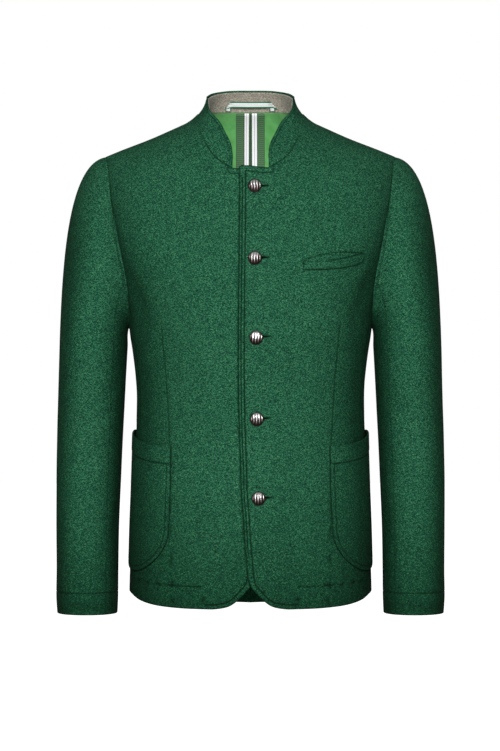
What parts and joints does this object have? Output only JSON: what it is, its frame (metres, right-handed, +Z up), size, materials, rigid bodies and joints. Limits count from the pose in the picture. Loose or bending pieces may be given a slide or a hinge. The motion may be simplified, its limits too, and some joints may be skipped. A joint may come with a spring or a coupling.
{
  "type": "boiled wool folk jacket",
  "caption": "Hip-length boiled wool jacket with stand collar, buttoned front, rounded patch pockets, a welt breast pocket and long sleeves, filled out as worn.",
  "frame": {"origin": "centre of the neck opening at the height of the neck end of the shoulder seams, where the wearer holds the jacket up", "axes": "+Z up, +X towards the wearer's left, the buttoned front faces -Y"},
  "size_m": [0.5634, 0.3019, 0.7613],
  "materials": {
    "wool": "boiled wool, deep green with a lighter and darker fleck",
    "felt": "taupe collar felt",
    "lining": "light green lining with a slight sheen",
    "ribbon": "woven ribbon, olive with two white stripes",
    "tape": "woven tape, white and grey with green edges",
    "metal": "antique dark silver"
  },
  "bodies": {
    "root": {"front_left": "wool", "front_right": "wool", "side_left": "wool", "side_right": "wool", "back_left": "wool", "back_right": "wool", "sleeve_top_left": "wool", "sleeve_top_right": "wool", "sleeve_under_left": "wool", "sleeve_under_right": "wool", "collar": "wool", "collar_facing": "felt", "pocket_left": "wool", "pocket_right": "wool", "breast_welt": "wool", "lining_left": "lining", "lining_right": "lining", "back_ribbon": "ribbon", "hanger_loop": "tape", "button_1": "metal", "button_2": "metal", "button_3": "metal", "button_4": "metal", "button_5": "metal"}
  },
  "joints": []
}
